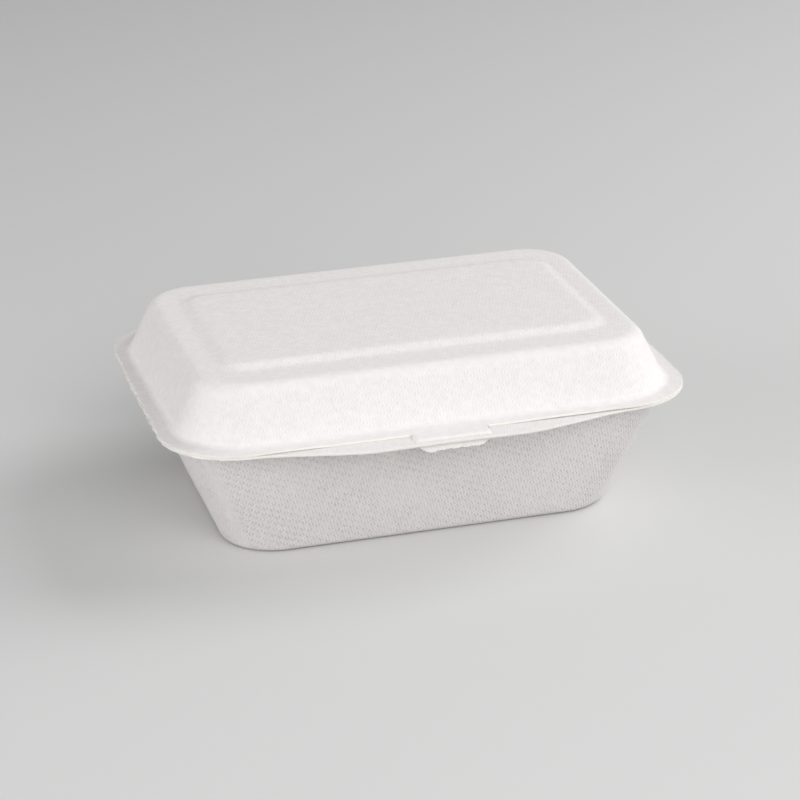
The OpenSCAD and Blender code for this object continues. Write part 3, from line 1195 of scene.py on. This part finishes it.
@dataclass
class Shell:
    """A thin pressed shell: what the tray and the lid have in common."""

    rim: Rim
    pulp: bpy.types.Material
    # The two shells share the unevenness, so that they lie on each other, but not the wander of their edges
    seed: float
    edge_seed: float
    # Largest distance between columns of the mesh round the plan
    column_step: float = 1.25 * MM
    corner_columns: int = 32
    # Half the width, as an angle, of the band at each corner's diagonal where the screen was lapped
    lap: float = 0.2
    unevenness: float = 0.16 * MM
    uneven_patch: float = 9 * MM
    edge_wander: float = 0.45 * MM
    wander_length: float = 2.1 * MM
    # How much more the edges at the left and right are frayed than those at the front and back
    left_wear: float = 4.0
    right_wear: float = 0.8
    # How far the left rim was drawn in as the pulp dried, and how much further at the back
    drawn_in: float = 0.1 * MM
    drawn_at_back: float = 0.8 * MM
    # In millimetres: where the drawing in begins at the left and at the back, and over what length it grows
    draw_left: tuple[float, float] = (70.0, 15.0)
    draw_back: tuple[float, float] = (5.0, 35.0)
    # Folds sharper than this many degrees are real edges
    edge_angle: float = 38.0

    def plan_radius(self, inset: np.ndarray) -> np.ndarray:
        """Corner radius in plan at an inset from the rim."""
        raise NotImplementedError

    def deeper(self, inset: np.ndarray) -> np.ndarray:
        """Extra inset at the front and back."""
        return np.zeros_like(inset)

    def front_columns(self) -> tuple[np.ndarray, np.ndarray]:
        """The mesh's columns along the front edge.

        Returns:
            Their x, and how far each is pulled out to the front.
        """
        raise NotImplementedError

    def walls(self) -> tuple[Wall, Wall]:
        """Stations of the skin that is seen when the box is shut, and of the other one."""
        raise NotImplementedError

    def section(self, name: str, outer: Wall, inner: Wall) -> bpy.types.Mesh:
        """Joins two skins at the cut edge, from the middle of the outer one to the middle of the inner one.

        Args:
            name: Name of the mesh.
            outer: Stations of the skin that is seen when the box is shut.
            inner: Stations of the other skin.

        Returns:
            A line of edges with the section's attributes on its points.
        """
        nip = self.rim.nip
        start, end = outer.height[0], inner.height[0]
        towards_inner = np.sign(end - start)
        edge_height = np.array([start + towards_inner * nip, (start + end) / 2, end - towards_inner * nip])
        none, ones = np.zeros(3), np.ones(3)
        softened = [skin.inset + nip * (skin.outboard == 1) for skin in (outer, inner)]
        inset = np.concatenate([softened[0][::-1], none, softened[1]])
        height = np.concatenate([outer.height[::-1], edge_height, inner.height])
        outboard = np.concatenate([outer.outboard[::-1], ones, inner.outboard])
        flat = np.concatenate([outer.flat[::-1], ones, inner.flat])
        imprint = np.concatenate([outer.imprint[::-1], none, inner.imprint])
        run = np.concatenate([outer.run()[::-1], none, inner.run()])
        radius = self.plan_radius(inset)
        inset = inset + self.rim.trim * outboard
        reach = np.stack(
            [
                self.rim.half_width - inset - radius,
                self.rim.half_depth - inset - self.deeper(inset) - radius,
                height,
            ],
            axis=1,
        )
        reach[[0, -1], 1] = 0.0
        mesh = new_mesh(name, np.stack([inset, 0 * inset, height], axis=1), chain(len(inset), closed=False))
        for label, values in {
            "reach": reach,
            "rounding": radius,
            "outboard": outboard,
            "run": run,
            "flat": flat,
            "imprint": imprint,
            "cut": (outboard == 1).astype(float),
        }.items():
            put(mesh, label, values)
        return mesh

    def plan(self, name: str) -> bpy.types.Mesh:
        """Lays out the columns round the rounded rectangle, anticlockwise from above.

        Args:
            name: Name of the mesh.

        Returns:
            A closed line of edges with the plan's attributes on its points.
        """
        xs, pulls = self.front_columns()
        share_x = xs / self.rim.straight
        half_end = self.rim.half_depth - self.rim.corner_r
        share_y = np.linspace(-1, 1, 2 * math.ceil(half_end / self.column_step) + 1)[1:-1]
        rows: list[tuple[float, ...]] = []
        for quarter in range(4):
            # A side first, then the corner at its far end
            out_x, out_y = round(math.cos(quarter * math.pi / 2)), round(math.sin(quarter * math.pi / 2))
            on_end = out_x != 0
            shares = share_y if on_end else share_x
            sign = 1 if quarter in (0, 3) else -1
            for k, share in enumerate(shares if sign > 0 else shares[::-1]):
                corner = (out_x, share) if on_end else (share, out_y)
                lay = (0, sign * share, 0) if on_end else (sign * share, 0, 0)
                pull = pulls[k] if quarter == 3 else 0.0
                rows.append((*corner, out_x, out_y, *lay, 1.0, pull))
            corner_x = 1 if quarter in (0, 3) else -1
            corner_y = 1 if quarter < 2 else -1
            for k in range(self.corner_columns + 1):
                turn = math.pi / 2 * k / self.corner_columns
                angle = quarter * math.pi / 2 + turn
                first = 2 * k <= self.corner_columns
                swept = turn if first else turn - math.pi / 2
                way = 1 if first else -1
                on_x = first != on_end
                lay = (way, 0, swept) if on_x else (0, way, swept)
                lap = float(smooth(abs(turn - math.pi / 4) / self.lap))
                rows.append((corner_x, corner_y, math.cos(angle), math.sin(angle), *lay, lap, 0.0))
        table = np.array(rows)
        count = len(table)
        half = np.array([self.rim.straight, half_end])
        outline = table[:, 0:2] * half + self.rim.corner_r * table[:, 2:4]
        mesh = new_mesh(name, np.column_stack([outline, np.zeros(count)]), chain(count, closed=True))
        put(mesh, "corner", np.column_stack([table[:, 0:2], np.ones(count)]))
        put(mesh, "facing", np.column_stack([table[:, 2:4], np.zeros(count)]))
        put(mesh, "lay", table[:, 4:7])
        put(mesh, "seam", table[:, 7])
        put(mesh, "pull", table[:, 8])
        put(mesh, "wear", 1 + self.left_wear * smooth(-table[:, 2]) + self.right_wear * smooth(table[:, 2]))
        return mesh

    def sweep(self, name: str, tree: bpy.types.NodeTree) -> bpy.types.Object:
        """Sweeps the section round the plan.

        Args:
            name: Name of the piece.
            tree: The sweeping tree.

        Returns:
            The shell as a plain mesh.
        """
        plan = add_object(name + "_plan", self.plan(name + "_plan"))
        shell = run_tree(
            name,
            self.section(name + "_section", *self.walls()),
            tree,
            {
                "Plan": plan,
                "Unevenness": self.unevenness,
                "Uneven patch": self.uneven_patch,
                "Edge wander": self.edge_wander,
                "Wander length": self.wander_length,
                "Seed": self.seed,
                "Edge seed": self.edge_seed,
                "Material": self.pulp,
            },
        )
        bpy.data.objects.remove(plan)
        return shell

    def dress(self, piece: bpy.types.Object) -> None:
        """Clears the helper attributes of a finished shell and smooths it up to its real edges."""
        plan_helpers = ("corner", "facing", "lay", "seam", "pull", "wear")
        section_helpers = ("reach", "rounding", "outboard", "run", "flat")
        finish_surface(piece.data, plan_helpers + section_helpers, self.edge_angle)

    def fibres(self, name: str, shell: bpy.types.Object, tree: bpy.types.NodeTree) -> bpy.types.Object:
        """Scatters loose fibres over the shell's cut edges.

        Args:
            name: Name of the piece.
            shell: The finished shell.
            tree: The scattering tree.

        Returns:
            The fibres as a plain mesh.
        """
        return run_tree(name, shell.data.copy(), tree, {"Seed": int(self.edge_seed), "Material": self.pulp})

    def settle(self, points: np.ndarray, outboard: np.ndarray) -> np.ndarray:
        """Draws the left side of the rim in, as it shrank while it dried.

        Args:
            points: The shell's points.
            outboard: How near each lies to the cut edge, from 0 at the crease to 1.

        Returns:
            The moved points.
        """
        at_left = smooth((-points[:, 0] / MM - self.draw_left[0]) / self.draw_left[1])
        at_back = smooth((points[:, 1] / MM - self.draw_back[0]) / self.draw_back[1])
        moved = points.copy()
        moved[:, 0] += smooth(outboard) * at_left * (self.drawn_in + self.drawn_at_back * at_back)
        return moved


@dataclass
class Tray(Shell):
    """The lower half: tapered walls on a flat base, and a front tongue with the slot for the lock tab."""

    lean: float = 17.4 * MM
    wall_corner_r: float = 23 * MM
    base_corner_r: float = 18.5 * MM
    base_edge_r: float = 3 * MM
    tongue_reach: float = 7.9 * MM
    tongue_front_half: float = 26 * MM
    tongue_dip: float = 0.6 * MM
    # Stations across the rim, and their distance and largest turn on each stretch of the two skins
    rim_steps: int = 10
    outer_spacing: tuple[float, ...] = (0, 1.2 * MM, 4 * MM)
    inner_spacing: tuple[float, ...] = (0, 1.6 * MM, 4 * MM)
    outer_turn: float = 0.3
    inner_turn: float = 0.4

    @property
    def base_inset(self) -> float:
        """Inset of the base's lower edge."""
        return self.rim.flat + self.lean

    def plan_radius(self, inset: np.ndarray) -> np.ndarray:
        """Corner radius in plan at an inset from the rim."""
        corners = {
            0.0: self.rim.corner_r,
            self.rim.flat: self.wall_corner_r,
            self.base_inset: self.base_corner_r,
            self.base_inset + self.base_corner_r: 1 * MM,
            self.rim.half_depth: 0.0,
        }
        return np.interp(inset, list(corners), list(corners.values()))

    def tongue_out(self, x: np.ndarray) -> np.ndarray:
        """How far the tongue's edge stands out at x: long soft shoulders, and a dip in the middle."""
        slope = self.rim.straight - self.tongue_front_half
        u = np.clip((self.rim.straight - np.abs(x)) / slope, 0, 1)
        dip = self.tongue_dip * (1 + np.cos(np.pi * np.minimum(1, np.abs(x) / self.tongue_front_half))) / 2
        return self.tongue_reach * u * (1 + 3 * u - 2 * u * u) / 2 - dip * (u >= 1)

    def front_columns(self) -> tuple[np.ndarray, np.ndarray]:
        """Even columns along the front, pulled out to the tongue's outline."""
        count = 2 * math.ceil(self.rim.straight / self.column_step) + 1
        xs = np.linspace(-1, 1, count)[1:-1] * self.rim.straight
        return xs, self.tongue_out(xs)

    def walls(self) -> tuple[Wall, Wall]:
        """Stations of the tray's outside and inside.

        Returns:
            The outer and the inner skin.
        """
        seat, stock = self.rim.seat, self.rim.stock
        path = [
            np.array([0.0, seat - stock]),
            np.array([self.rim.flat, seat - stock]),
            np.array([self.base_inset, 0.0]),
            np.array([self.rim.half_depth, 0.0]),
        ]
        radii = [self.rim.blend_r, self.base_edge_r]
        lays = [Lay.FLAT, Lay.UPRIGHT, Lay.FLAT]
        shares = np.linspace(1, 0, self.rim_steps + 1)
        outer = Wall.along(path, radii, lays, self.outer_spacing, shares, self.outer_turn)
        inside, inside_radii = beside(path, stock), beside_radii(path, radii, stock)
        inner = Wall.along(inside, inside_radii, lays, self.inner_spacing, shares, self.inner_turn)
        return outer, inner

    def build(self, tree: bpy.types.NodeTree, tab: LockTab) -> bpy.types.Object:
        """Sweeps the tray, draws its rim in and cuts the slot.

        Args:
            tree: The sweeping tree.
            tab: The lock tab that the slot is for.

        Returns:
            The tray's shell.
        """
        shell = self.sweep("tray_shell", tree)
        move_points(shell.data, self.settle(points_of(shell.data), take(shell.data, "outboard")))
        tab.cut_slot(shell, self.rim)
        self.dress(shell)
        return shell


@dataclass
class Lid(Shell):
    """The upper half: sloped walls, round shoulder, ledge and raised panel, and the lock tab in front."""

    dome: float = 19.0 * MM
    lean: float = 8.4 * MM
    wall_corner_r: float = 23 * MM
    shoulder_corner_r: float = 16 * MM
    shoulder_r: float = 5 * MM
    end_ledge: float = 11 * MM
    front_ledge: float = 15.8 * MM
    panel_corner_r: float = 8 * MM
    panel_rise: float = 1.5 * MM
    panel_ramp: float = 4 * MM
    panel_blend_r: float = 5 * MM
    # Corner radius left in plan well inside the panel
    panel_middle_r: float = 0.5 * MM
    # The extra depth in front grows from this far past the shoulder to this far before the ramp, each as a
    # share of the radius there
    deeper_from: float = 0.6
    deeper_to: float = 0.2
    # Distance and largest turn between stations on each stretch of the two skins
    outer_spacing: tuple[float, ...] = (0, 1.2 * MM, 1.3 * MM, 1 * MM, 3 * MM)
    inner_spacing: tuple[float, ...] = (0, 2 * MM, 2 * MM, 2 * MM, 5 * MM)
    outer_turn: float = 0.22
    inner_turn: float = 0.4
    # How far the rim springs up in front, right and left of the tab, and along its left side
    right_lift: float = 0.28 * MM
    left_lift: float = 0.22 * MM
    side_lift: float = 0.35 * MM
    # In millimetres: where each lift begins and is full, and where it falls and is gone
    right_span: tuple[float, ...] = (16, 40, 60, 76)
    left_span: tuple[float, ...] = (-66, -57, -46, -36)
    side_span: tuple[float, ...] = (-44, -24, 10, 40)
    # In millimetres: how far out the front's and the left side's lift begins, and over what length it grows
    lift_front: tuple[float, float] = (52.0, 10.0)
    lift_left: tuple[float, float] = (80.0, 6.0)
    tab: LockTab = field(default_factory=LockTab)

    @property
    def shoulder_inset(self) -> float:
        """Inset of the shoulder from the rim."""
        return self.rim.flat + self.lean

    @property
    def ramp_inset(self) -> float:
        """Inset of the foot of the panel's ramp at the lid's ends."""
        return self.shoulder_inset + self.end_ledge - self.panel_ramp / 2

    @property
    def ledge_to(self) -> float:
        """Inset at which the ledge's flat stretch ends."""
        return self.ramp_inset - self.deeper_to * self.panel_blend_r

    def plan_radius(self, inset: np.ndarray) -> np.ndarray:
        """Corner radius in plan at an inset from the rim."""
        top = self.ramp_inset + self.panel_ramp
        corners = {
            0.0: self.rim.corner_r,
            self.rim.flat: self.wall_corner_r,
            self.shoulder_inset: self.shoulder_corner_r,
            self.ledge_to: self.panel_corner_r + self.panel_ramp / 2,
            top: self.panel_corner_r - self.panel_ramp / 2,
            top + self.panel_corner_r: self.panel_middle_r,
            self.middle_inset: 0.0,
        }
        return np.interp(inset, list(corners), list(corners.values()))

    @property
    def middle_inset(self) -> float:
        """Inset at which the front and back halves of the panel meet."""
        return self.rim.half_depth - (self.front_ledge - self.end_ledge)

    def deeper(self, inset: np.ndarray) -> np.ndarray:
        """The panel stands further from the rim at the front and back than at the ends."""
        begin = self.shoulder_inset + self.deeper_from * self.shoulder_r
        return np.interp(inset, [begin, self.ledge_to], [0, self.front_ledge - self.end_ledge])

    def front_columns(self) -> tuple[np.ndarray, np.ndarray]:
        """Columns along the front: even beside the lock tab, and close together at its sides."""
        across, pulls = self.tab.columns()
        begin, end = across[0], across[-1]
        step = self.column_step
        left = np.linspace(-self.rim.straight, begin, math.ceil((begin + self.rim.straight) / step) + 1)[1:-1]
        right = np.linspace(end, self.rim.straight, math.ceil((self.rim.straight - end) / step) + 1)[1:-1]
        xs = np.concatenate([left, across, right])
        return xs, np.concatenate([0 * left, pulls, 0 * right])

    def walls(self) -> tuple[Wall, Wall]:
        """Stations of the lid's top and underside.

        Returns:
            The outer and the inner skin.
        """
        seat, stock = self.rim.seat, self.rim.stock
        ledge, panel = seat + self.dome, seat + self.dome + self.panel_rise
        path = [
            np.array([0.0, seat + stock]),
            np.array([self.rim.flat, seat + stock]),
            np.array([self.shoulder_inset, ledge]),
            np.array([self.ramp_inset, ledge]),
            np.array([self.ramp_inset + self.panel_ramp, panel]),
            np.array([self.middle_inset, panel]),
        ]
        radii = [self.rim.blend_r, self.shoulder_r, self.panel_blend_r, self.panel_blend_r]
        lays = [Lay.FLAT, Lay.UPRIGHT, Lay.FLAT, Lay.FLAT, Lay.FLAT]
        foot = self.rim.flat - self.rim.blend_r
        shares = self.tab.rim_shares(foot)
        outer = Wall.along(path, radii, lays, self.outer_spacing, shares, self.outer_turn)
        under, under_radii = beside(path, self.rim.air - stock), beside_radii(path, radii, -stock)
        inner = Wall.along(under, under_radii, lays, self.inner_spacing, shares, self.inner_turn)
        return outer, inner

    def lift(self, points: np.ndarray, outboard: np.ndarray) -> np.ndarray:
        """Springs the rim up a little where the pressed sheets do not lie tight on each other.

        Args:
            points: The shell's points.
            outboard: How near each lies to the cut edge, from 0 at the crease to 1.

        Returns:
            The moved points.
        """
        x, y = points[:, 0] / MM, points[:, 1] / MM
        at_front = smooth((-y - self.lift_front[0]) / self.lift_front[1])
        at_left = smooth((-x - self.lift_left[0]) / self.lift_left[1])
        beside_tab = self.right_lift * swell(x, self.right_span) + self.left_lift * swell(x, self.left_span)
        moved = points.copy()
        rise = beside_tab * at_front + self.side_lift * swell(y, self.side_span) * at_left
        moved[:, 2] += smooth(outboard) * rise
        return moved

    def build(self, tree: bpy.types.NodeTree) -> bpy.types.Object:
        """Sweeps the lid, settles and lifts its rim, and bends the lock tab.

        Args:
            tree: The sweeping tree.

        Returns:
            The lid's shell.
        """
        shell = self.sweep("lid_shell", tree)
        outboard = take(shell.data, "outboard")
        points = self.lift(self.settle(points_of(shell.data), outboard), outboard)
        move_points(shell.data, self.tab.bend(points, self.rim))
        self.dress(shell)
        return shell


@dataclass
class Fold:
    """The folded pulp along the back that joins tray and lid."""

    rim: Rim
    pulp: bpy.types.Material
    half_length: float = 63 * MM
    outer_r: float = 0.95 * MM
    inner_r: float = 0.7 * MM
    flap: float = 2.8 * MM
    # The flap's outline: share of its length, and height over the sheet
    flap_shape: tuple[tuple[float, float], ...] = (
        (0.3, 0.1 * MM),
        (0.65, 0.05 * MM),
        (1.0, -0.02 * MM),
        (1.0, -0.1 * MM),
    )
    arc_steps: int = 12
    path_step: float = 0.9 * MM
    # The fold turns between these heights above and below the hinge line
    turning: float = 0.75 * MM
    edge_angle: float = 50.0

    def section(self) -> bpy.types.Mesh:
        """The strip's section: a half round over the two rims' edges, with a tapered flap on each.

        Returns:
            A closed line of edges.
        """
        angles = np.linspace(-math.pi / 2, math.pi / 2, self.arc_steps + 1)
        outside = [(self.outer_r * math.cos(t), self.outer_r * math.sin(t)) for t in angles]
        inside = [(self.inner_r * math.cos(t), self.inner_r * math.sin(t)) for t in angles[::-1]]
        top = [(-share * self.flap, self.rim.stock + over) for share, over in self.flap_shape]
        bottom = [(y, -z) for y, z in reversed(top)]
        outline = outside + top + inside + bottom
        points = np.array([(0.0, y, z) for y, z in outline])
        mesh = new_mesh("fold_section", points, chain(len(points), closed=True))
        put(mesh, "across", points)
        return mesh

    def path(self) -> bpy.types.Mesh:
        """The hinge line, as a row of edges."""
        count = 2 * math.ceil(self.half_length / self.path_step) + 1
        xs = np.linspace(-self.half_length, self.half_length, count)
        points = np.column_stack([xs, np.full(count, self.rim.half_depth), np.full(count, self.rim.seat)])
        mesh = new_mesh("fold_path", points, chain(count, closed=False))
        put(mesh, "along", points)
        return mesh

    def build(self, tree: bpy.types.NodeTree) -> bpy.types.Object:
        """Sweeps the strip along the hinge line.

        Args:
            tree: The sweeping tree.

        Returns:
            The strip.
        """
        line = add_object("fold_path", self.path())
        strip = run_tree("back_fold", self.section(), tree, {"Path": line, "Material": self.pulp})
        bpy.data.objects.remove(line)
        finish_surface(strip.data, ("along", "across"), self.edge_angle)
        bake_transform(strip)
        return strip


@dataclass
class Clamshell:
    """The whole box: tray, lid, lock tab and fold."""

    rim: Rim
    tray_finish: PulpFinish
    lid_finish: PulpFinish

    def build(self) -> list[bpy.types.Object]:
        """Builds the pieces in order, and puts the shells and their fibres on their bodies.

        Returns:
            The pieces.
        """
        tray_pulp, lid_pulp = self.tray_finish.build(), self.lid_finish.build()
        shell_tree, edge_tree = sweep_tree(), fibre_tree()
        tray = Tray(self.rim, tray_pulp, seed=11.0, edge_seed=4.0)
        lid = Lid(self.rim, lid_pulp, seed=11.0, edge_seed=11.0)
        lower = tray.build(shell_tree, lid.tab)
        lower_fibres = tray.fibres("tray_edge_fibres", lower, edge_tree)
        upper = lid.build(shell_tree)
        upper_fibres = lid.fibres("lid_edge_fibres", upper, edge_tree)
        strip = Fold(self.rim, tray_pulp).build(fold_tree())

        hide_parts("tray")
        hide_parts("lid")
        riders = {Body.TRAY: (lower, lower_fibres), Body.LID: (upper, upper_fibres)}
        for body, pieces in riders.items():
            for piece in pieces:
                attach(piece, body.value)
        return [lower, lower_fibres, upper, upper_fibres, strip]


@dataclass(frozen=True)
class Lamp:
    """A square soft box that points at the middle of the clamshell."""

    name: str
    power: float
    side: float
    place: tuple[float, float, float]
    # The middle of the box, at which it points
    aim: tuple[float, float, float] = (0.0, 0.0, 0.03)

    def hang(self) -> None:
        """Adds the lamp to the scene."""
        light = bpy.data.lights.new(self.name, "AREA")
        light.energy = self.power
        light.size = self.side
        lamp = add_object(self.name, light)
        spot = Vector(self.place)
        lamp.location = spot
        lamp.rotation_euler = (Vector(self.aim) - spot).to_track_quat("-Z", "Y").to_euler()


@dataclass
class Studio:
    """Plain pale floor, soft light from the right and the front, and the photograph's camera."""

    floor_size: float = 8.0
    # Soft boxes: name, power in watts, side, and where each hangs
    lamps: tuple[Lamp, ...] = (
        Lamp("right", 12.6, 1.1, (1.25, 0.1, 0.95)),
        Lamp("front", 13.5, 1.1, (0.1, -1.35, 0.78)),
        Lamp("left", 17.6, 1.2, (-1.6, -0.3, 0.22)),
        Lamp("low right", 4.6, 1.0, (1.5, -0.6, 0.25)),
    )
    ambient: str = "#C3C4C5"
    ambient_strength: float = 0.485
    backdrop: str = "#D7D7D6"
    # The camera's place and turn, worked out from the outlines of the rim, panel and base
    azimuth: float = -14.989
    elevation: float = 21.573
    roll: float = -1.5004
    lens_mm: float = 128.909
    stand: tuple[float, float, float] = (-0.23863, -0.90146, 0.40054)
    nearest: float = 0.05
    furthest: float = 50.0

    def floor(self) -> bpy.types.Object:
        """Lays the floor under the box."""
        half = self.floor_size / 2
        corners = np.array([(-half, -half, 0), (half, -half, 0), (half, half, 0), (-half, half, 0)])
        mesh = new_mesh("floor", corners, faces=[(0, 1, 2, 3)])
        mesh.materials.append(FloorFinish().build())
        floor = add_object("floor", mesh)
        return floor

    def world(self) -> None:
        """Soft light from all round, and the pale backdrop that the camera sees."""
        world = bpy.data.worlds.new("studio")
        tree = blank_tree(world)
        soft = add_node(
            tree, "ShaderNodeBackground", {"Color": srgb(self.ambient), "Strength": self.ambient_strength}
        )
        seen = add_node(tree, "ShaderNodeBackground", {"Color": srgb(self.backdrop), "Strength": 1.0})
        mixed = add_node(tree, "ShaderNodeMixShader", {0: seen_directly(tree), 1: soft, 2: seen})
        add_node(tree, "ShaderNodeOutputWorld", {"Surface": mixed})
        bpy.context.scene.world = world

    def camera(self) -> bpy.types.Object:
        """Sets up the photograph's camera.

        Returns:
            The camera.
        """
        azimuth, elevation, roll = (math.radians(a) for a in (self.azimuth, self.elevation, self.roll))
        level_part = math.cos(elevation)
        back = Vector((math.sin(azimuth) * level_part, -math.cos(azimuth) * level_part, math.sin(elevation)))
        level = (-back).cross(Vector((0, 0, 1))).normalized()
        upright = level.cross(-back)
        right = math.cos(roll) * level + math.sin(roll) * upright
        up = -math.sin(roll) * level + math.cos(roll) * upright
        lens = bpy.data.cameras.new("camera")
        lens.lens = self.lens_mm
        lens.clip_start, lens.clip_end = self.nearest, self.furthest
        camera = add_object("camera", lens)
        turn = Matrix((right, up, back)).transposed().to_4x4()
        camera.matrix_world = Matrix.Translation(self.stand) @ turn
        bpy.context.scene.camera = camera
        return camera

    def build(self) -> None:
        """Builds the whole studio."""
        self.floor()
        for lamp in self.lamps:
            lamp.hang()
        self.world()
        self.camera()
        bpy.context.scene.view_settings.view_transform = "Standard"


def main() -> None:
    """Builds the studio and the box, and reports each piece."""
    logging.basicConfig(level=logging.INFO, format="%(name)s: %(message)s")
    Studio().build()
    LOG.info("studio ready")
    clamshell = Clamshell(
        Rim.from_frame(),
        tray_finish=PulpFinish("bagasse_pulp_tray", "tray_pulp"),
        lid_finish=PulpFinish(
            "bagasse_pulp_lid",
            "lid_pulp",
            wire_turn=-21.0,
            row_turn=-121.0,
            screen_depth_mm=0.055,
            screen_tint=0.032,
        ),
    )
    for piece in clamshell.build():
        LOG.info("%s: %d vertices, %d faces", piece.name, len(piece.data.vertices), len(piece.data.polygons))


if __name__ == "__main__":
    main()
